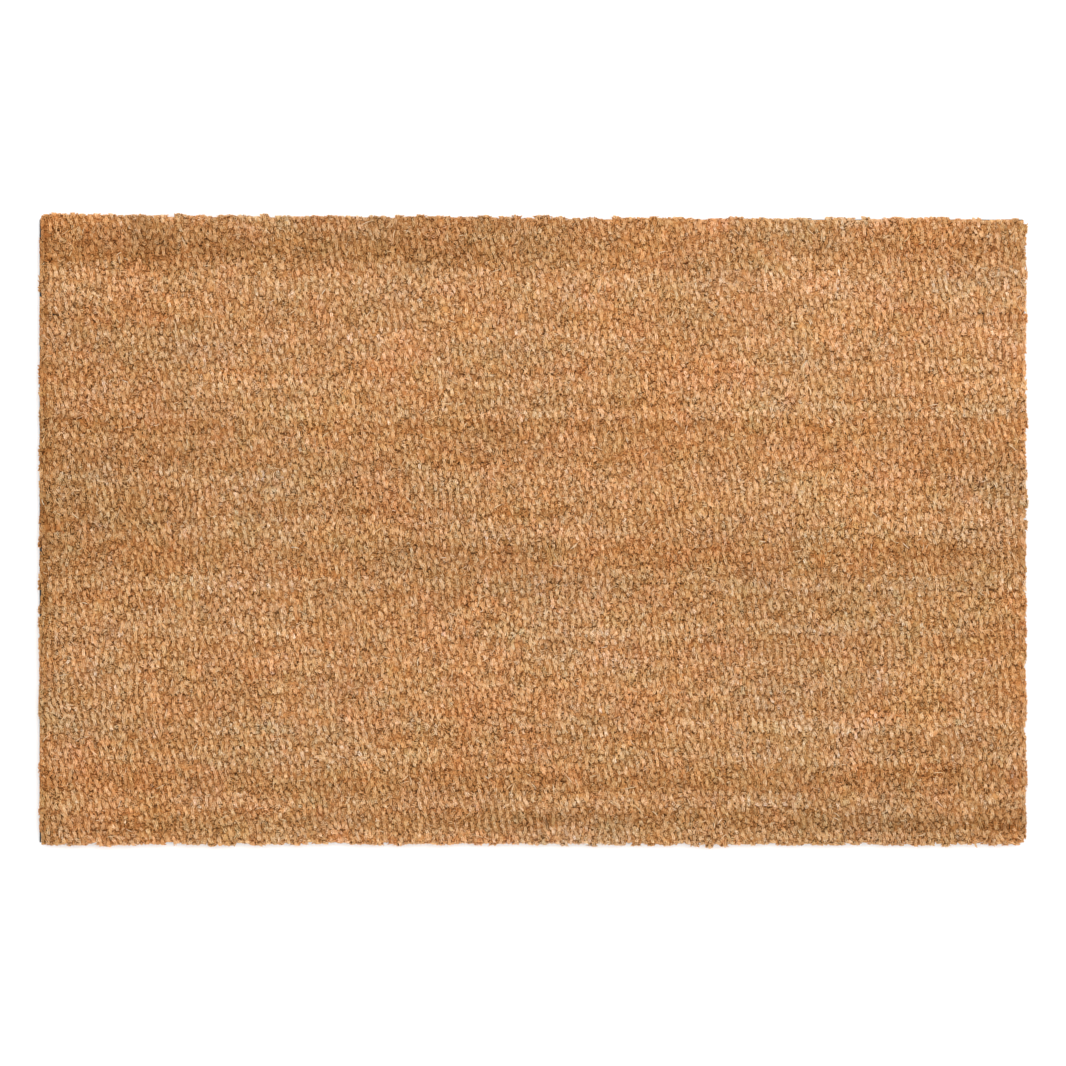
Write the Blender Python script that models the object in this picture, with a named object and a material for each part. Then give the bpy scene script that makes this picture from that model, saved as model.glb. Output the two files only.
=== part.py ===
"""Woven coir door mat with a cut pile and a rubber backing coat, in metres, +Z up.

The origin is the middle of the underside, the long side lies along X and the short side along Y.
From the floor up, the mat is a backing coat, a woven ground cloth and the pile. The loom lays the
pile in rows along X, each row from yarn of its own, and two neighbouring rows make one strip here.
"""

import math

import bmesh
import bpy

# Driving dimensions.
MAT_LENGTH = 0.700
MAT_WIDTH = 0.445
PILE_OVERHANG = 0.0015  # how far the outer tufts lean out past the cut edge of the cloth
BACKING_THICKNESS = 0.0020
GROUND_THICKNESS = 0.0024
PILE_HEIGHT = 0.0110
CREST_DROP = 0.0016  # from the top of a row down to the valley between two rows
FIT_GAP = 0.0003  # between pieces that touch

PILE_ROWS = 84
ROWS_IN_STRIP = 2
CREST_STEPS = 6  # straight facets across the top of one row

# Worked out from the above.
CUT_LENGTH = MAT_LENGTH - 2 * PILE_OVERHANG
CUT_WIDTH = MAT_WIDTH - 2 * PILE_OVERHANG
ROW_PITCH = MAT_WIDTH / PILE_ROWS
STRIP_COUNT = PILE_ROWS // ROWS_IN_STRIP
STRIP_PITCH = ROWS_IN_STRIP * ROW_PITCH
GROUND_BASE = BACKING_THICKNESS + FIT_GAP
PILE_BASE = GROUND_BASE + GROUND_THICKNESS + FIT_GAP


def clear_scene():
    for obj in list(bpy.data.objects):
        bpy.data.objects.remove(obj, do_unlink=True)


def new_collection(name):
    collection = bpy.data.collections.new(name)
    bpy.context.scene.collection.children.link(collection)
    return collection


def principled(name, colour, roughness):
    material = bpy.data.materials.new(name)
    material.use_nodes = True
    shader = material.node_tree.nodes["Principled BSDF"]
    shader.inputs["Base Color"].default_value = (*colour, 1.0)
    shader.inputs["Roughness"].default_value = roughness
    shader.inputs["Metallic"].default_value = 0.0
    return material


def place(obj, collection, parent):
    """Moves an object into the mat's own collection and under the mat's empty."""
    for other in list(obj.users_collection):
        other.objects.unlink(obj)
    collection.objects.link(obj)
    obj.parent = parent


def flat_layer(name, base, thickness, material):
    """A cut sheet of the cloth's length and width, standing on the height base."""
    bpy.ops.mesh.primitive_cube_add(size=1.0)
    layer = bpy.context.object
    layer.name = name
    layer.scale = (CUT_LENGTH, CUT_WIDTH, thickness)
    bpy.ops.object.transform_apply(location=False, rotation=False, scale=True)
    layer.location = (0.0, 0.0, base + thickness / 2)
    layer.data.materials.append(material)
    return layer


def strip_section():
    """The strip's outline across its rows, as (across, up): a flat root under one round crest a row."""
    half = (STRIP_PITCH - FIT_GAP) / 2
    crest_half = half / ROWS_IN_STRIP
    valley = PILE_HEIGHT - CREST_DROP
    outline = [(-half, 0.0), (half, 0.0), (half, valley)]
    for row in range(ROWS_IN_STRIP):
        middle = half - crest_half * (2 * row + 1)
        for step in range(1, CREST_STEPS + 1):
            turn = math.pi * step / CREST_STEPS
            outline.append((middle + crest_half * math.cos(turn), valley + CREST_DROP * math.sin(turn)))
    return outline


def section_curve(name, outline):
    """A filled flat curve, extruded to the mat's length."""
    curve = bpy.data.curves.new(name, "CURVE")
    curve.dimensions = "2D"
    curve.fill_mode = "BOTH"
    curve.extrude = MAT_LENGTH / 2
    spline = curve.splines.new("POLY")
    spline.points.add(len(outline) - 1)
    for point, (across, up) in zip(spline.points, outline):
        point.co = (across, up, 0.0, 1.0)
    spline.use_cyclic_u = True
    return curve


def strip_mesh(material):
    """The one mesh that all the pile strips share, with its caps welded and its crests smooth."""
    guide = bpy.data.objects.new("pile_section", section_curve("pile_section", strip_section()))
    bpy.context.scene.collection.objects.link(guide)
    mesh = bpy.data.meshes.new_from_object(guide.evaluated_get(bpy.context.evaluated_depsgraph_get()))
    bpy.data.objects.remove(guide)
    mesh.name = "pile_strip"
    solid = bmesh.new()
    solid.from_mesh(mesh)
    bmesh.ops.remove_doubles(solid, verts=solid.verts, dist=1e-5)
    bmesh.ops.recalc_face_normals(solid, faces=solid.faces)
    solid.to_mesh(mesh)
    solid.free()
    mesh.shade_smooth()
    mesh.set_sharp_from_angle(angle=math.radians(50))
    mesh.materials.clear()
    mesh.materials.append(material)
    return mesh


def pile_strips(material):
    """The pile from the front edge to the back, two rows of tufts to a strip."""
    mesh = strip_mesh(material)
    strips = []
    for number in range(STRIP_COUNT):
        strip = bpy.data.objects.new(f"pile_rows_{number + 1:02d}", mesh)
        across = (number + 0.5) * STRIP_PITCH - MAT_WIDTH / 2
        strip.location = (0.0, across, PILE_BASE)
        strip.rotation_euler = (math.pi / 2, 0.0, math.pi / 2)  # the section stands up, its length along X
        strips.append(strip)
    return strips


def build():
    clear_scene()
    collection = new_collection("door_mat")
    frame = bpy.data.objects.new("door_mat_frame", None)
    collection.objects.link(frame)

    rubber = principled("backing_rubber", (0.030, 0.033, 0.035), 0.75)
    ground_coir = principled("ground_coir", (0.30, 0.15, 0.06), 0.9)
    pile_coir = principled("pile_coir", (0.50, 0.25, 0.11), 0.85)

    pieces = [
        flat_layer("backing_coat", 0.0, BACKING_THICKNESS, rubber),
        flat_layer("ground_cloth", GROUND_BASE, GROUND_THICKNESS, ground_coir),
        *pile_strips(pile_coir),
    ]
    for piece in pieces:
        place(piece, collection, frame)


build()
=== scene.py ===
"""The looks of a woven coir door mat: cut pile in rows of tufts, a corded ground cloth and a rubber coat."""

import math
from collections import namedtuple

import bpy
import numpy as np
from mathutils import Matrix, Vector


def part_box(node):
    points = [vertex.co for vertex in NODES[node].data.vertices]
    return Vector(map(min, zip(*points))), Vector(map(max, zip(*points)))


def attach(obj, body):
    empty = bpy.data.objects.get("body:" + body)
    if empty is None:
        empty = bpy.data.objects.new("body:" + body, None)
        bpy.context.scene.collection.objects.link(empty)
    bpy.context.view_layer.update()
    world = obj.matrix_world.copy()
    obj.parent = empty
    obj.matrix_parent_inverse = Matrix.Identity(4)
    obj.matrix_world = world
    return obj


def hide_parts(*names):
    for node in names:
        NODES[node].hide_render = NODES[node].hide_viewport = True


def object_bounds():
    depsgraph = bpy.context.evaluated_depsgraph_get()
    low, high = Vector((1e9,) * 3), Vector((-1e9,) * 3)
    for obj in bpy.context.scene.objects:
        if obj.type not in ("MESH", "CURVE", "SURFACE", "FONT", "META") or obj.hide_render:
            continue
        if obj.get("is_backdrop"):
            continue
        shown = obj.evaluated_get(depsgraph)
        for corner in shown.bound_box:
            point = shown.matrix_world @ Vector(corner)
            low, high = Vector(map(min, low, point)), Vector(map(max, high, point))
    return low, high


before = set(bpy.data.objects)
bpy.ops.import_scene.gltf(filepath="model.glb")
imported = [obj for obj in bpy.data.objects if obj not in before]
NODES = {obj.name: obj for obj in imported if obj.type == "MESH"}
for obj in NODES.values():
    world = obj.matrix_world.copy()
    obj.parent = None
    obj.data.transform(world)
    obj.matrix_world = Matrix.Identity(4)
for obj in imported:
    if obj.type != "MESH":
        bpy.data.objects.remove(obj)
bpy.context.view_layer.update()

# The mat's sizes, read off the frame.
LOW, HIGH = (np.array(corner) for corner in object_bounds())
LENGTH, WIDTH, TOP = HIGH - LOW
CUT_LOW, CUT_HIGH = (np.array(corner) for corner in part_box("backing_coat"))
GROUND_LOW, GROUND_HIGH = (np.array(corner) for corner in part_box("ground_cloth"))
STRIPS = sorted(name for name in NODES if name.startswith("pile_rows_"))

# The weave.
SEED = 41
GROUND_SEED, COAT_SEED = 900, 901  # a strip's own seed is its number
ROWS_IN_STRIP = 2
TUFTS = 138  # in a row
ROWS = ROWS_IN_STRIP * len(STRIPS)
TUFT_PITCH = LENGTH / TUFTS
ROW_PITCH = WIDTH / ROWS

# How far the tufts differ, as a spread: in place, with their neighbours and each by itself, and in height.
WANDER_X = 0.00190
WANDER_Y = 0.00050
OWN_X = 0.00020
OWN_Y = 0.00030
FIRM_COLUMNS = 5  # the outer columns, which wander less and less towards the side
TOP_SPREAD = 0.00035
TOP_SHY = 0.0003  # from the middling tuft's top up to the CAD's
LEAN_X = 0.00015
LEAN_Y = 0.00030

# A tuft is a packed stem under a crest of three locks in line, with lower fibres splayed to the sides.
STEM_TOP = 0.0114  # above the floor
STEM_ROOT = 0.0004  # how far it stands down into the ground cloth
STEM_SHOULDER = 0.0018  # from its widest place up to its top
STEM_SHAPE = (0.95, 1.20, 0.65)  # its width at the foot, at the shoulder and at the top, in pitches
STEM_STRETCH = 1.1  # of that width, across the rows
STEM_SHY = 0.0012  # from the sides of the mat
LOCKS = 3
LOCK_STEP = ROW_PITCH / LOCKS
LOCK_FIBRES = 8  # in two files side by side
LOW_FIBRES = 14  # in a tuft
FIBRE_RADIUS = 0.00056
LOW_RADIUS = 0.00062
FRINGE_RADIUS = 0.00042
STRAY_RADIUS = 0.00024
FIBRE_TAPER = (1.10, 0.62)  # from root to tip
LOCK_SPREAD = (0.9, 1.2)  # how far its fibres lie apart, for each step between them, at the root and the tip
LOCK_BEND_X = 0.00055  # the spread of the locks' lean
LOCK_BEND_Y = 0.00340
FIBRE_STEP = 0.00086  # between the two files of a lock
LAYER_STEP = 0.00064  # from one fibre to the next in a file
FIBRE_SHOWN = 0.0048  # the length of a fibre that stands out of the stem, measured upright
LOW_SHOWN = 0.0030
LOW_DROP = 0.0022  # from the top of the tuft down to the tips of its lower fibres
LEAN_LIMIT = 0.0060  # how far a lock's ends may reach sideways
LEAN_ASKEW = -0.26  # how much a lock that leans along the short side leans along the long side as well
LEAN_DROP = 65.0  # how a lock's top comes down as it leans, for each square of the lean
LAYER_DROP = 30.0  # and its outer fibres, for each square of their distance from its middle
STRAYS = 0.10  # long loose fibres lying on the pile, for each tuft

# The cut sides: bumpy from tuft to tuft, with fibres hanging down to the ground cloth.
EDGE_BUMP = 0.0009
OUT_OF_SQUARE = 0.0017  # the back edge lies this much further back at the left end, and less far at the right
SKEW_ROWS = 8  # the rows along the back edge that share in that
ROUNDED = 0.0024  # the two right corners are worn back by this much
WORN_TUFTS = 0.7  # how quickly the wear fades, away from the corner
LEFT_SHY = 0.0008  # the pile stands back here, and the coat shows
COAT_SHOWS = 0.0015  # the coat's left edge lies this much outside the cloth's
FRINGE_STEP = 0.00045
FRINGE_LAYERS = 2
FRINGE_LAYER_DEPTH = 0.0006

# The ground cloth's cords, and the relief that they leave under the coat.
CORD_RADIUS = 0.00072
CORD_LIFT = 0.00045  # of a cord above or below the middle of the cloth, where it crosses another
CORD_SHY = 0.0003  # from the end of a cord to the cut edge of the cloth
RELIEF = 0.00018

# Colour: the middle tone's red, green and blue, and how each follows tone, hue and tint.
COIR = np.array([0.645, 0.380, 0.176])
TONE_POWER = np.array([0.55, 1.00, 1.75])
HUE_SHARE = np.array([-0.034, 0.026, 0.100])
TINT_SHARE = np.array([0.4, -1.0, 0.6])
TONE_SPREAD = 0.12
HUE_SPREAD = 0.85
HUE_BY_TONE = 3.0  # a pale tuft is less straw than a dark one, for each step of tone
TINT_SPREAD = 0.018
BAND_STRENGTH = 0.8
BAND_PATCHES = 0.35  # how much that strength comes and goes along a row
STEM_PAINTED_SHADE = np.array([0.60, 0.62, 0.62])  # painted shade down in the pits between the locks: from foot to top, as a share of the tuft's tone
CREST_PAINTED_SHADE = np.array([0.72, 1.08])  # painted shade at the root and painted light at the tip
# Painted shade and light along a fibre, for the lower fibres and the fringe too: darker at its root, down in
# the pile, and paler at its tip.
LOW_PAINTED_SHADE = np.array([0.70, 1.02])
FRINGE_PAINTED_SHADE = np.array([0.66, 1.05])
SIDE_PAINTED_SHADE = 0.44  # painted shade: how much darker the pile is at the left side
SIDE_PAINTED_SHADE_REACH = 0.0052

# The strands within a fibre's colour: steps of the pattern in a metre, and between two tubes.
STRANDS_ACROSS = 5500.0
STRANDS_ALONG = 150.0
STRANDS_APART = 7.0

# Paler and darker rows, from the back edge: (row, width in rows, change of tone).
BANDS = (
    (0.5, 1.0, 0.10), (4.5, 1.2, -0.12), (10.5, 2.0, 0.13), (15.5, 0.9, 0.10), (18.0, 0.7, -0.10),
    (21.5, 1.5, 0.11), (26.5, 0.8, 0.15), (40.0, 0.6, -0.13), (44.5, 2.5, -0.09), (49.5, 1.0, -0.12),
    (66.0, 0.9, 0.10), (76.0, 0.7, -0.14), (81.0, 1.2, -0.20), (83.5, 0.6, 0.12),
)

# A bundle of tubes: centres[tube, ring], radii[tube, ring] with one half width or two, the number of sides,
# the turn of each tube about itself, tone[tube, ring], and the hue and tint of each tube.
Bundle = namedtuple("Bundle", "centres radii sides turn tone hue tint")


# Materials.


def principled(name):
    material = bpy.data.materials.new(name)
    material.use_nodes = True
    nodes, links = material.node_tree.nodes, material.node_tree.links
    return material, nodes, links, nodes["Principled BSDF"]


def ramp(nodes, stops):
    node = nodes.new("ShaderNodeValToRGB")
    elements = node.color_ramp.elements
    while len(elements) < len(stops):
        elements.new(0.5)
    for element, (place, colour) in zip(elements, stops):
        element.position = place
        element.color = (*colour, 1.0)
    return node


def attribute(nodes, name):
    node = nodes.new("ShaderNodeAttribute")
    node.attribute_name = name
    return node.outputs["Vector"]


def coir_material(name):
    """Coir: each fibre's own colour with its painted shade and light, with strands running along it."""
    material, nodes, links, shader = principled(name)
    colour = attribute(nodes, "fibre_colour_and_painted_shade")
    strands = nodes.new("ShaderNodeTexNoise")
    strands.inputs["Scale"].default_value = 1.0
    strands.inputs["Detail"].default_value = 2.0
    links.new(attribute(nodes, "strand_place"), strands.inputs["Vector"])
    fleck = nodes.new("ShaderNodeMath")
    fleck.operation = "MULTIPLY_ADD"
    links.new(strands.outputs["Fac"], fleck.inputs[0])
    fleck.inputs[1].default_value = 0.4
    fleck.inputs[2].default_value = 0.80
    shade = nodes.new("ShaderNodeVectorMath")
    shade.operation = "SCALE"
    links.new(colour, shade.inputs[0])
    links.new(fleck.outputs[0], shade.inputs["Scale"])
    links.new(shade.outputs[0], shader.inputs["Base Color"])
    shader.inputs["Roughness"].default_value = 0.75
    shader.inputs["Specular IOR Level"].default_value = 0.30
    return material


def rubber_material():
    """Dark latex rubber, mottled and finely grained."""
    material, nodes, links, shader = principled("latex_rubber")
    place = nodes.new("ShaderNodeTexCoord")
    mottle = nodes.new("ShaderNodeTexNoise")
    mottle.inputs["Scale"].default_value = 60.0
    mottle.inputs["Detail"].default_value = 6.0
    links.new(place.outputs["Object"], mottle.inputs["Vector"])
    colours = ramp(nodes, ((0.3, (0.022, 0.025, 0.027)), (0.7, (0.050, 0.054, 0.056))))
    links.new(mottle.outputs["Fac"], colours.inputs["Fac"])
    links.new(colours.outputs["Color"], shader.inputs["Base Color"])
    rough = ramp(nodes, ((0.3, (0.62, 0.62, 0.62)), (0.7, (0.86, 0.86, 0.86))))
    links.new(mottle.outputs["Fac"], rough.inputs["Fac"])
    links.new(rough.outputs["Color"], shader.inputs["Roughness"])
    grain = nodes.new("ShaderNodeTexNoise")
    grain.inputs["Scale"].default_value = 1400.0
    links.new(place.outputs["Object"], grain.inputs["Vector"])
    bump = nodes.new("ShaderNodeBump")
    bump.inputs["Strength"].default_value = 0.3
    bump.inputs["Distance"].default_value = 0.0002
    links.new(grain.outputs["Fac"], bump.inputs["Height"])
    links.new(bump.outputs["Normal"], shader.inputs["Normal"])
    return material


def coir_colour(tone, hue, tint):
    """Coir of a given tone: the darker, the foxier. Hue leads from rust to straw, tint from green to pink."""
    colour = COIR * tone[..., None] ** TONE_POWER
    colour = colour * np.exp(hue[..., None] * HUE_SHARE)
    return colour * np.exp(tint[..., None] * TINT_SHARE)


# Bundles of tubes.


def blurred(field, *sigmas):
    """A field of noise, smoothed by sigmas cells along each axis and brought to a spread of 1."""
    for axis, sigma in enumerate(sigmas):
        if sigma <= 0:
            continue
        reach = int(3 * sigma) + 1
        kernel = np.exp(-0.5 * (np.arange(-reach, reach + 1) / sigma) ** 2)
        kernel /= kernel.sum()
        borders = [(reach, reach) if other == axis else (0, 0) for other in range(field.ndim)]
        padded = np.pad(field, borders, mode="reflect")
        field = np.apply_along_axis(np.convolve, axis, padded, kernel, mode="valid")
    return (field - field.mean()) / field.std()


def unit(vectors):
    return vectors / np.linalg.norm(vectors, axis=2, keepdims=True)


def tube_points(bundle):
    """The corners of a bundle's tubes, as [tube, ring, corner]."""
    centres, radii, sides, turn = bundle[:4]
    run = unit(np.gradient(centres, axis=1))
    lies_along_x = np.abs(run[..., :1]) > 0.9
    aside = unit(np.cross(run, np.where(lies_along_x, (0.0, 1.0, 0.0), (1.0, 0.0, 0.0))))
    other = np.cross(run, aside)
    angle = math.tau * np.arange(sides) / sides + turn[:, None]
    cos, sin = (wave[:, None, :, None] for wave in (np.cos(angle), np.sin(angle)))
    half = np.broadcast_to(radii, (*centres.shape[:2], 2))[:, :, None, :]
    first_way = half[..., :1] * cos * aside[:, :, None]
    other_way = half[..., 1:] * sin * other[:, :, None]
    return centres[:, :, None] + first_way + other_way


def tube_faces(tubes, rings, sides):
    """The walls and the caps of closed tubes, by the number of their corners."""
    index = np.arange(tubes * rings * sides).reshape(tubes, rings, sides)
    after = np.roll(index, -1, axis=2)
    walls = np.stack([index[:, :-1], after[:, :-1], after[:, 1:], index[:, 1:]], axis=-1)
    caps = np.stack([index[:, 0, ::-1], index[:, -1]], axis=1)
    return walls.reshape(-1, 4), caps.reshape(-1, sides)


def tube_uv(tubes, rings, sides, first, cells):
    """Each tube's own small rectangle of the UV square, for its walls and then its caps."""
    columns = math.ceil(math.sqrt(cells * 2.0))
    lines = math.ceil(cells / columns)
    cell = first + np.arange(tubes)
    left = (cell % columns) / columns
    foot = (cell // columns) / lines
    wide, tall = 0.8 / columns, 0.8 / lines  # the rest is the margin between two rectangles
    side = np.arange(sides)[None, None, :] * np.ones((tubes, rings - 1, 1))
    ring = np.arange(rings - 1)[None, :, None] * np.ones((tubes, 1, sides))
    u = left[:, None, None] + wide * np.stack([side, side + 1, side + 1, side]) / sides
    v = foot[:, None, None] + tall * np.stack([ring, ring, ring + 1, ring + 1]) / (rings - 1)
    walls = np.stack([u, v], axis=-1).transpose(1, 2, 3, 0, 4).reshape(-1, 2)
    around = np.arange(sides) / sides
    low = np.stack([left[:, None] + wide * around[::-1], foot[:, None] + 0 * around], axis=-1)
    high = np.stack([left[:, None] + wide * around, foot[:, None] + tall + 0 * around], axis=-1)
    caps = np.stack([low, high], axis=1).reshape(-1, 2)
    return np.concatenate([walls, caps])


def strand_places(bundle, first):
    """Where each corner lies in the pattern of strands, which is fine across a tube and coarse along it."""
    centres, radii, sides = bundle[:3]
    tubes, rings = centres.shape[:2]
    around = math.tau * np.arange(sides) / sides
    half = np.broadcast_to(radii, (tubes, rings, 2))[:, :, None, :]
    steps = np.linalg.norm(np.diff(centres, axis=1), axis=2)
    along = np.concatenate([np.zeros((tubes, 1)), np.cumsum(steps, axis=1)], axis=1)
    start = STRANDS_APART * (first + np.arange(tubes))[:, None, None]
    place = np.empty((tubes, rings, sides, 3))
    place[..., 0] = STRANDS_ACROSS * half[..., 0] * np.cos(around)
    place[..., 1] = STRANDS_ACROSS * half[..., 1] * np.sin(around)
    place[..., 2] = along[:, :, None] * STRANDS_ALONG + start
    return place.reshape(-1, 3)


def tube_colours(bundle):
    """The colour of each corner, the same all round a ring."""
    tubes, rings = bundle.centres.shape[:2]
    hue, tint = (np.broadcast_to(value[:, None], bundle.tone.shape) for value in (bundle.hue, bundle.tint))
    colour = coir_colour(bundle.tone, hue, tint)
    return np.broadcast_to(colour[:, :, None], (tubes, rings, bundle.sides, 3)).reshape(-1, 3)


def joined_tubes(bundles):
    """The points, corners, face sizes, UVs, colours and strand places of all the bundles together."""
    cells = sum(len(bundle.centres) for bundle in bundles)
    parts = []
    base = cell = 0
    for bundle in bundles:
        tubes, rings = bundle.centres.shape[:2]
        points = tube_points(bundle).reshape(-1, 3)
        walls, caps = tube_faces(tubes, rings, bundle.sides)
        corners = np.concatenate([walls.ravel(), caps.ravel()]) + base
        totals = np.concatenate([np.full(len(walls), 4), np.full(len(caps), bundle.sides)])
        uv = tube_uv(tubes, rings, bundle.sides, cell, cells)
        parts.append((points, corners, totals, uv, tube_colours(bundle), strand_places(bundle, cell)))
        base += len(points)
        cell += tubes
    return (np.concatenate(part) for part in zip(*parts))


def flat_floats(values):
    return values.astype(np.float32).ravel()


def bundle_object(name, bundles, material):
    """One object from bundles of tubes, with its own UV layer, OFBake."""
    points, corners, totals, uvs, colours, strands = joined_tubes(bundles)
    starts = np.concatenate([[0], np.cumsum(totals)[:-1]])
    mesh = bpy.data.meshes.new(name)
    mesh.vertices.add(len(points))
    mesh.vertices.foreach_set("co", flat_floats(points))
    mesh.loops.add(len(corners))
    mesh.loops.foreach_set("vertex_index", corners.astype(np.int32))
    mesh.polygons.add(len(totals))
    mesh.polygons.foreach_set("loop_start", starts.astype(np.int32))
    mesh.update(calc_edges=True)
    mesh.shade_smooth()
    for layer, values in (("fibre_colour_and_painted_shade", colours), ("strand_place", strands)):
        mesh.attributes.new(layer, "FLOAT_VECTOR", "POINT")
        mesh.attributes[layer].data.foreach_set("vector", flat_floats(values))
    mesh.uv_layers.new(name="OFBake").uv.foreach_set("vector", flat_floats(uvs))
    mesh.materials.append(material)
    piece = bpy.data.objects.new(name, mesh)
    bpy.context.scene.collection.objects.link(piece)
    return piece


# The pile.


class Fields:
    """What varies over the mat, one value for each tuft: [row, tuft].

    Most are sums of noises, each with its share in front and its reach in the brackets, in rows and in tufts.
    """

    def __init__(self):
        random = np.random.default_rng(SEED)
        shape = (ROWS, TUFTS)

        def noise(*sigmas):
            return blurred(random.standard_normal(shape), *sigmas)

        row = blurred(random.standard_normal(ROWS), 0.45)[:, None]
        column = blurred(random.standard_normal(TUFTS), 0.8)[None, :]
        from_back = ROWS - 0.5 - np.arange(ROWS)[:, None]
        bands = sum(change * np.exp(-0.5 * ((from_back - at) / wide) ** 2) for at, wide, change in BANDS)
        right, back = np.linspace(-1, 1, TUFTS)[None, :], np.linspace(-1, 1, ROWS)[:, None]
        drift = 0.010 * right + 0.012 * back + 0.060 * right * back  # of tone, from corner to corner
        self.bands = BAND_STRENGTH * bands * (1 + BAND_PATCHES * noise(1.0, 20.0)) + drift
        tone = 0.42 * row + 0.15 * column + 0.28 * noise(4.0, 8.0)
        self.tone = tone + 0.32 * noise(0.4, 9.0) + 0.50 * noise(0, 0)
        hue = 0.32 * row + 0.20 * column + 0.38 * noise(3.0, 6.0)
        self.hue = hue + 0.40 * noise(0.7, 2.0) + 0.50 * noise(0, 0)
        self.tint = 0.5 * noise(0.8, 1.5) + 0.5 * noise(0, 0)
        self.height = 0.30 * row + 0.3 * noise(1.0, 5.0) + 0.8 * noise(0.3, 0.5)
        self.wander_x = noise(0.5, 7.0)
        self.wander_y = noise(0.5, 9.0)
        self.lean_x = noise(1.5, 3.0)
        self.lean_y = noise(1.0, 3.0)


class Tufts:
    """The tufts of one CAD strip: where each stands, how high it reaches and its colour."""

    def __init__(self, number, fields):
        self.random = np.random.default_rng([SEED, number])
        self.row = np.repeat(number * ROWS_IN_STRIP + np.arange(ROWS_IN_STRIP), TUFTS)
        self.column = np.tile(np.arange(TUFTS), ROWS_IN_STRIP)
        self.count = len(self.row)
        at = (self.row, self.column)
        self.set_place(fields.wander_x[at], fields.wander_y[at])
        self.set_limits()
        self.top = TOP - TOP_SHY + TOP_SPREAD * fields.height[at]
        self.lean_x = LEAN_X * fields.lean_x[at]
        self.lean_y = LEAN_Y * fields.lean_y[at]
        # painted shade, fading in from the left side
        shaded = 1 - SIDE_PAINTED_SHADE * np.exp(-(self.x - LOW[0]) / SIDE_PAINTED_SHADE_REACH)
        self.tone = shaded * (1.0 + fields.bands[at] + TONE_SPREAD * fields.tone[at])
        self.hue = HUE_SPREAD * fields.hue[at] - HUE_BY_TONE * (self.tone - 1.0)
        self.tint = TINT_SPREAD * fields.tint[at]

    def set_place(self, wander_x, wander_y):
        """The middle of each tuft."""
        from_side = np.minimum(self.column, TUFTS - 1 - self.column)
        loose = np.clip(from_side / FIRM_COLUMNS, 0, 1)
        shift = WANDER_X * loose * wander_x
        self.x = LOW[0] + (self.column + 0.5) * TUFT_PITCH + shift + self.own(OWN_X)
        self.y = LOW[1] + (self.row + 0.5) * ROW_PITCH + WANDER_Y * wander_y + self.own(OWN_Y)
        self.askew = -OUT_OF_SQUARE * self.x / HIGH[0]
        self.y += self.askew * np.clip(1 - (ROWS - 1 - self.row) / SKEW_ROWS, 0, 1)

    def set_limits(self):
        """The farthest that a tuft's fibres may reach at each side of the mat."""
        self.west = LOW[0] + LEFT_SHY + self.own(EDGE_BUMP)
        self.east = HIGH[0] + self.own(EDGE_BUMP)
        self.south = LOW[1] + self.own(EDGE_BUMP)
        self.north = HIGH[1] + self.askew + self.own(EDGE_BUMP)
        rows_in = np.minimum(self.row, ROWS - 1 - self.row)
        self.east -= ROUNDED * np.exp(-rows_in / WORN_TUFTS)
        worn_end = ROUNDED * np.exp(-(TUFTS - 1 - self.column) / WORN_TUFTS)
        self.south += worn_end
        self.north -= worn_end

    def own(self, spread, count=None):
        """Chance values with the given spread, one for each tuft unless count says otherwise."""
        return spread * self.random.standard_normal(self.count if count is None else count)

    def turns(self, count):
        return self.random.uniform(0, math.tau, count)

    def inside(self, tuft, x, y, margin=0.0):
        """Draws points of the given tufts back that lie outside the mat's sides."""
        x = np.clip(x, self.west[tuft] + margin, self.east[tuft] - margin)
        y = np.clip(y, self.south[tuft] + margin, self.north[tuft] - margin)
        return x, y


def stems(tufts):
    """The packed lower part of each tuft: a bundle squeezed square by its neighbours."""
    foot = GROUND_HIGH[2] - STEM_ROOT
    crown = STEM_TOP + 0.8 * (tufts.top - TOP) + tufts.own(0.0004)
    margin_x = 0.60 * TUFT_PITCH + STEM_SHY  # half a stem at its shoulder, and what it stands back
    margin_y = 0.66 * ROW_PITCH + STEM_SHY
    centres = np.empty((tufts.count, len(STEM_SHAPE), 3))
    centres[..., 0] = np.clip(tufts.x, tufts.west + margin_x, tufts.east - margin_x)[:, None]
    centres[..., 1] = np.clip(tufts.y, tufts.south + margin_y, tufts.north - margin_y)[:, None]
    centres[..., 2] = np.stack([foot + 0.0 * crown, crown - STEM_SHOULDER, crown], axis=1)
    square = np.array([STEM_STRETCH * ROW_PITCH, TUFT_PITCH]) / 2 * math.sqrt(2)
    halves = square * np.array(STEM_SHAPE)[:, None] * np.ones((tufts.count, 1, 1))
    turn = np.full(tufts.count, math.pi / 4)
    # Painted shade: the stems that show down between the locks are darkened and made a little less red than
    # the fibres above.
    shade = tufts.tone[:, None] * STEM_PAINTED_SHADE
    return Bundle(centres, halves, 4, turn, shade, tufts.hue + 0.5, tufts.tint)


def fibres(tufts, tuft, roots, tips, tone, hue, ends, radius):
    """Straight three-sided fibres from roots to tips, each (x, y, z), with the painted shade and light of
    their two ends.
    """
    count = len(tuft)
    centres = np.empty((count, 2, 3))
    for ring, (x, y, z) in enumerate((roots, tips)):
        centres[:, ring, 0], centres[:, ring, 1] = tufts.inside(tuft, x, y)
        centres[:, ring, 2] = z
    thick = radius * np.exp(tufts.own(0.15, count))
    radii = thick[:, None] * np.array(FIBRE_TAPER)
    # painted shade towards the root and painted light towards the tip, from ends
    shade = (tone * (1 + tufts.own(0.03, count)))[:, None] * ends
    turn = tufts.turns(count)
    return Bundle(centres, radii[..., None], 3, turn, shade, hue + tufts.own(0.2, count), tufts.tint[tuft])


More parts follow.
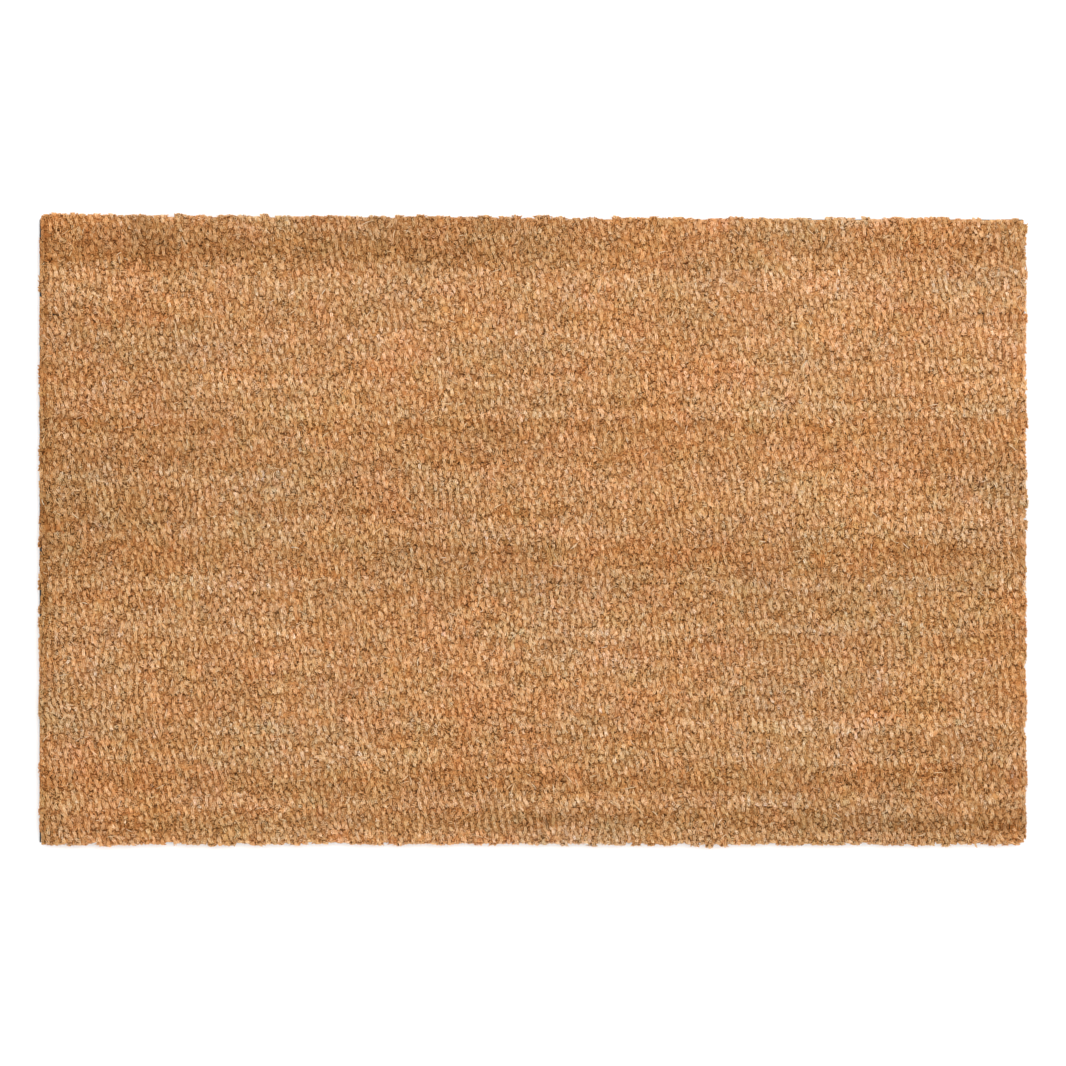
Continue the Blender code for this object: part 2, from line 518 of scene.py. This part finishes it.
class Locks:
    """The locks of the tufts' crests: where each stands, which way it leans, its top and its colour."""

    def __init__(self, tufts):
        self.count = count = tufts.count * LOCKS
        self.tuft = tuft = np.repeat(np.arange(tufts.count), LOCKS)
        place = np.tile(np.arange(LOCKS), tufts.count) - (LOCKS - 1) / 2
        self.x = tufts.x[tuft] + tufts.own(0.00018, count)
        self.y = tufts.y[tuft] + LOCK_STEP * place + tufts.own(0.00050, count)
        bend_y = np.clip(tufts.lean_y[tuft] + tufts.own(LOCK_BEND_Y, count), -LEAN_LIMIT, LEAN_LIMIT)
        bend_x = tufts.lean_x[tuft] + tufts.own(LOCK_BEND_X, count) + LEAN_ASKEW * bend_y
        end_x, end_y = tufts.inside(tuft, self.x + bend_x, self.y + bend_y, 0.0003)
        self.bend_x, self.bend_y = end_x - self.x, end_y - self.y
        drop = LEAN_DROP * (self.bend_x ** 2 + self.bend_y ** 2)
        self.top = tufts.top[tuft] + tufts.own(0.00035, count) - drop
        self.tone = tufts.tone[tuft] * np.exp(tufts.own(0.11, count))
        self.hue = tufts.hue[tuft] + tufts.own(0.35, count)
        length = np.hypot(self.bend_x, self.bend_y) + 1e-6
        self.along_x, self.along_y = self.bend_x / length, self.bend_y / length


def crest_fibres(tufts):
    """The upper fibres: locks of a few side by side, each lock leaning over one way."""
    locks = Locks(tufts)
    count = locks.count * LOCK_FIBRES
    lock = np.repeat(np.arange(locks.count), LOCK_FIBRES)
    member = np.tile(np.arange(LOCK_FIBRES), locks.count)
    aside = (member % 2 - 0.5) * FIBRE_STEP + tufts.own(0.00007, count)
    middle_layer = (LOCK_FIBRES // 2 - 1) / 2
    layer = (member // 2 - middle_layer) * LAYER_STEP + tufts.own(0.00007, count)
    shift_x = -(aside * locks.along_y[lock] + layer * locks.along_x[lock])
    shift_y = aside * locks.along_x[lock] - layer * locks.along_y[lock]
    ahead_x = locks.bend_x[lock] + tufts.own(0.00010, count)
    ahead_y = locks.bend_y[lock] + tufts.own(0.00030, count)
    tip_z = locks.top[lock] - LAYER_DROP * layer ** 2 + tufts.own(0.00010, count)
    lock_x, lock_y = locks.x[lock], locks.y[lock]
    low, high = LOCK_SPREAD
    roots = lock_x + low * shift_x, lock_y + low * shift_y, tip_z - FIBRE_SHOWN
    tips = lock_x + high * shift_x + ahead_x, lock_y + high * shift_y + ahead_y, tip_z
    painted_lock_light = 1.09 - 0.09 * (layer / LAYER_STEP) ** 2  # painted light and shade: a lock is paler along its middle and darker at its sides
    tone = painted_lock_light * locks.tone[lock]
    return fibres(tufts, locks.tuft[lock], roots, tips, tone, locks.hue[lock], CREST_PAINTED_SHADE, FIBRE_RADIUS)


def low_fibres(tufts):
    """The lower fibres: splayed out over the gap to the next tuft on either side."""
    count = tufts.count * LOW_FIBRES
    tuft = np.repeat(np.arange(tufts.count), LOW_FIBRES)
    place = np.tile(np.arange(LOW_FIBRES), tufts.count)
    side = np.where(place % 2, 1.0, -1.0)
    along = (place // 2 + 0.5) / (LOW_FIBRES / 2) - 0.5
    root_x = tufts.x[tuft] + side * tufts.random.uniform(0.0000, 0.0014, count)
    root_y = tufts.y[tuft] + ROW_PITCH * along + tufts.own(0.0006, count)
    tip_x = root_x + side * tufts.random.uniform(0.0006, 0.0022, count)
    tip_y = root_y + tufts.own(0.0016, count)
    tip_z = tufts.top[tuft] - LOW_DROP + tufts.own(0.0005, count)
    gap = np.abs(tip_x - tufts.x[tuft]) / (0.5 * TUFT_PITCH)
    # painted shade: a lower fibre darkens the farther it reaches out into the gap between two tufts
    tone = (1.02 - 0.30 * gap) * tufts.tone[tuft] * (1 + tufts.own(0.06, count))
    roots = root_x, root_y, tip_z - LOW_SHOWN
    tips = tip_x, tip_y, tip_z
    return fibres(tufts, tuft, roots, tips, tone, tufts.hue[tuft], LOW_PAINTED_SHADE, LOW_RADIUS)


def fringe_side(tufts, outer, edge, inward, along_x):
    """The roots, tips and tufts of the fibres along one side of the mat."""
    pitch = TUFT_PITCH if along_x else ROW_PITCH
    each = round(pitch / FRINGE_STEP) * FRINGE_LAYERS
    tuft = np.repeat(np.flatnonzero(outer), each)
    count = len(tuft)
    number = np.tile(np.arange(each), count // each)
    depth = FRINGE_LAYER_DEPTH * (number % FRINGE_LAYERS)
    place = pitch * ((number + 0.5) / each - 0.5) + tufts.own(0.00015, count)
    middle = (tufts.x if along_x else tufts.y)[tuft] + place
    root_depth = edge[tuft] + inward * (0.0011 + depth)
    tip_depth = edge[tuft] + inward * (0.0002 + depth + np.abs(tufts.own(0.0006, count)))
    swing = tufts.own(0.0011, count)
    low = np.full(count, GROUND_HIGH[2]) + tufts.own(0.0002, count)
    high = tufts.top[tuft] - 0.0012 - np.abs(tufts.own(0.0011, count))
    if along_x:
        return (middle, root_depth, low), (middle + swing, tip_depth, high), tuft
    return (root_depth, middle, low), (tip_depth, middle + swing, high), tuft


def fringe(tufts):
    """The fibres seen along the cut sides, from the top of the outer tufts down to the ground cloth."""
    sides = (
        (tufts.row == 0, tufts.south, 1, True),
        (tufts.row == ROWS - 1, tufts.north, -1, True),
        (tufts.column == 0, tufts.west, 1, False),
        (tufts.column == TUFTS - 1, tufts.east, -1, False),
    )
    roots, tips, owners = zip(*(fringe_side(tufts, *side) for side in sides if side[0].any()))
    tuft = np.concatenate(owners)
    roots, tips = (tuple(np.concatenate(part) for part in zip(*ends)) for ends in (roots, tips))
    tone = tufts.tone[tuft] * np.exp(tufts.own(0.12, len(tuft)))
    return fibres(tufts, tuft, roots, tips, tone, tufts.hue[tuft], FRINGE_PAINTED_SHADE, FRINGE_RADIUS)


def strays(tufts):
    """A few long pale fibres that come up out of a tuft and lie down across its neighbours."""
    rise = np.array([-0.0060, -0.0012, -0.0001, 0.0002, 0.0002, 0.0001, -0.0001])
    taper = np.array([1.0, 1.0, 1.0, 1.0, 1.0, 0.9, 0.6])
    steps = len(rise)
    chosen = np.flatnonzero(tufts.random.random(tufts.count) < STRAYS)
    count = len(chosen)
    reach = tufts.random.uniform(0.0015, 0.0055, count)
    heading = tufts.turns(count)
    bow = tufts.own(0.7, count)
    turn = heading[:, None] + bow[:, None] * np.linspace(0.0, 1.0, steps)[None, :]
    run_x = np.cumsum(np.cos(turn), axis=1) / steps * reach[:, None] * 1.6
    run_y = np.cumsum(np.sin(turn), axis=1) / steps * reach[:, None] * 1.6
    start_x, start_y = tufts.x[chosen][:, None], tufts.y[chosen][:, None]
    # A fibre that would run over an edge is laid back towards the middle.
    flip_x = np.where(np.abs(start_x + run_x[:, -1:]) > LENGTH / 2 - 0.002, -1.0, 1.0)
    flip_y = np.where(np.abs(start_y + run_y[:, -1:]) > WIDTH / 2 - 0.002, -1.0, 1.0)
    centres = np.empty((count, steps, 3))
    centres[..., 0] = start_x + flip_x * run_x
    centres[..., 1] = start_y + flip_y * run_y
    centres[..., 2] = tufts.top[chosen][:, None] + rise[None, :]
    radii = STRAY_RADIUS * np.exp(tufts.own(0.15, count))[:, None] * taper
    shade = (1.15 + tufts.own(0.08, count))[:, None] * np.ones(steps)
    spin = tufts.turns(count)
    return Bundle(centres, radii[..., None], 4, spin, shade, 1.5 + tufts.own(0.8, count), tufts.tint[chosen])


def pile_strip(number, fields, material):
    """One strip of the pile: two rows of tufts with their stems, fibres, fringe and strays."""
    tufts = Tufts(number, fields)
    bundles = [stems(tufts), crest_fibres(tufts), low_fibres(tufts), fringe(tufts), strays(tufts)]
    return bundle_object(f"pile_tufts_{number + 1:02d}", bundles, material)


# The cloth and the coat under the pile.


def ground_layer(name, axis, cords, pitch, crossings, random, material):
    """The cords that run along one axis, each over and under the ones that it crosses."""
    size = (cords, crossings)
    across = LOW[1 - axis] + (np.arange(cords) + 0.5) * pitch
    along = np.linspace(CUT_LOW[axis] + CORD_SHY, CUT_HIGH[axis] - CORD_SHY, crossings)
    even = (np.arange(cords)[:, None] + np.arange(crossings)[None, :]) % 2 == 0
    lift = CORD_LIFT * np.where(even, 1.0, -1.0) * (1 if axis else -1)
    centres = np.empty((*size, 3))
    centres[..., axis] = along[None, :]
    centres[..., 1 - axis] = across[:, None] + 0.0001 * random.standard_normal(size)
    centres[..., 2] = (GROUND_LOW[2] + GROUND_HIGH[2]) / 2 + lift
    radii = CORD_RADIUS * (1 + 0.06 * random.standard_normal(size))
    tone = 0.70 * (1 + 0.12 * random.standard_normal((cords, 1))) * np.ones((1, crossings))
    hue = 0.6 * random.standard_normal(cords)
    turn = random.uniform(0, math.tau, cords)
    bundle = Bundle(centres, radii[..., None], 4, turn, tone, hue, 0.0 * hue)
    return bundle_object(name, [bundle], material)


def ground_cords(material):
    """The weave under the pile: warp cords along Y, weft cords along X."""
    random = np.random.default_rng([SEED, GROUND_SEED])
    warp = ground_layer("ground_warp", 1, TUFTS, TUFT_PITCH, ROWS + 1, random, material)
    weft = ground_layer("ground_weft", 0, ROWS, ROW_PITCH, TUFTS + 1, random, material)
    return [warp, weft]


def coat_points():
    """The points of the coat's two faces as grids, with a low relief of the cords on the lower one."""
    x = np.linspace(CUT_LOW[0] - COAT_SHOWS, CUT_HIGH[0], TUFTS + 1)
    y = np.linspace(CUT_LOW[1], CUT_HIGH[1], ROWS + 1)
    grid_x, grid_y = np.meshgrid(x, y)
    random = np.random.default_rng([SEED, COAT_SEED])
    uneven = blurred(random.standard_normal(grid_x.shape), 2.0, 2.0)
    waves_x, waves_y = np.cos(math.pi * np.arange(TUFTS + 1)), np.cos(math.pi * np.arange(ROWS + 1))
    weave = waves_x[None, :] * waves_y[:, None]
    under = RELIEF * np.clip(0.5 + 0.25 * weave + 0.18 * uneven, 0.0, 1.0)
    under[0] = under[-1] = under[:, 0] = under[:, -1] = 0.0
    upper = np.full(grid_x.shape, CUT_HIGH[2] - CUT_LOW[2])
    faces = [np.stack([grid_x, grid_y, CUT_LOW[2] + z], axis=-1).reshape(-1, 3) for z in (under, upper)]
    return np.concatenate(faces)


def coat_faces():
    """The coat's faces: its underside, its upper side and the walls around its rim."""
    index = np.arange((ROWS + 1) * (TUFTS + 1)).reshape(ROWS + 1, TUFTS + 1)
    quads = np.stack([index[:-1, :-1], index[:-1, 1:], index[1:, 1:], index[1:, :-1]], axis=-1)
    quads = quads.reshape(-1, 4)
    rim = np.concatenate([index[0, :-1], index[:-1, -1], index[-1, :0:-1], index[:0:-1, 0]])
    after = np.roll(rim, -1)
    walls = np.stack([rim, after, after + index.size, rim + index.size], axis=-1)
    return np.concatenate([quads[:, ::-1], quads + index.size, walls])


def backing(material):
    """The poured coat: a thin sheet."""
    mesh = bpy.data.meshes.new("rubber_backing")
    mesh.from_pydata(coat_points().tolist(), [], coat_faces().tolist())
    mesh.shade_smooth()
    mesh.set_sharp_from_angle(angle=math.radians(60))
    mesh.materials.append(material)
    piece = bpy.data.objects.new("rubber_backing", mesh)
    bpy.context.scene.collection.objects.link(piece)
    return piece


# The studio.


def camera():
    """Straight down on the mat, its long side across the picture and its middle a little off the centre."""
    data = bpy.data.cameras.new("camera")
    data.lens = 300.0
    data.sensor_width = 36.0
    view_width = 1.0787 * LENGTH  # the mat and the white on either side of it
    height = view_width * data.lens / data.sensor_width
    eye = bpy.data.objects.new("camera", data)
    eye.location = (0.0003, -0.0015, HIGH[2] + height)
    bpy.context.scene.collection.objects.link(eye)
    bpy.context.scene.camera = eye


def sky():
    """An even white sky."""
    world = bpy.data.worlds.new("studio")
    world.use_nodes = True
    bpy.context.scene.world = world
    background = world.node_tree.nodes["Background"]
    background.inputs["Color"].default_value = (1.0, 1.0, 1.0, 1.0)
    background.inputs["Strength"].default_value = 1.10


def softbox():
    """A wide soft light above the mat, a little behind it and to the right."""
    data = bpy.data.lights.new("softbox", "AREA")
    data.shape = "RECTANGLE"
    data.size, data.size_y = 1.6, 1.2
    data.energy = 31.0
    lamp = bpy.data.objects.new("softbox", data)
    lamp.location = (0.15, 0.25, 1.9)
    lamp.rotation_euler = (Vector((0, 0, 0)) - lamp.location).to_track_quat("-Z", "Y").to_euler()
    bpy.context.scene.collection.objects.link(lamp)


def floor():
    """White paper, just under the mat."""
    bpy.ops.mesh.primitive_plane_add(size=14.0, location=(0.0, 0.0, LOW[2] - 0.0002))
    paper = bpy.context.object
    paper.name = "floor"
    material, nodes, links, shader = principled("floor_paper")
    shader.inputs["Base Color"].default_value = (0.96, 0.96, 0.96, 1.0)
    shader.inputs["Roughness"].default_value = 0.9
    paper.data.materials.append(material)
    paper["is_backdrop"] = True


bpy.context.scene.view_settings.view_transform = "Standard"
camera()
sky()
softbox()
floor()
pile_coir = coir_material("pile_coir")
ground_coir = coir_material("ground_coir")
fields = Fields()

for number, node in enumerate(STRIPS):
    piece = pile_strip(number, fields, pile_coir)
    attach(piece, "root")
    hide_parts(node)

cords = ground_cords(ground_coir)
for piece in cords:
    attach(piece, "root")
    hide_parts("ground_cloth")

coat = backing(rubber_material())
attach(coat, "root")
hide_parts("backing_coat")
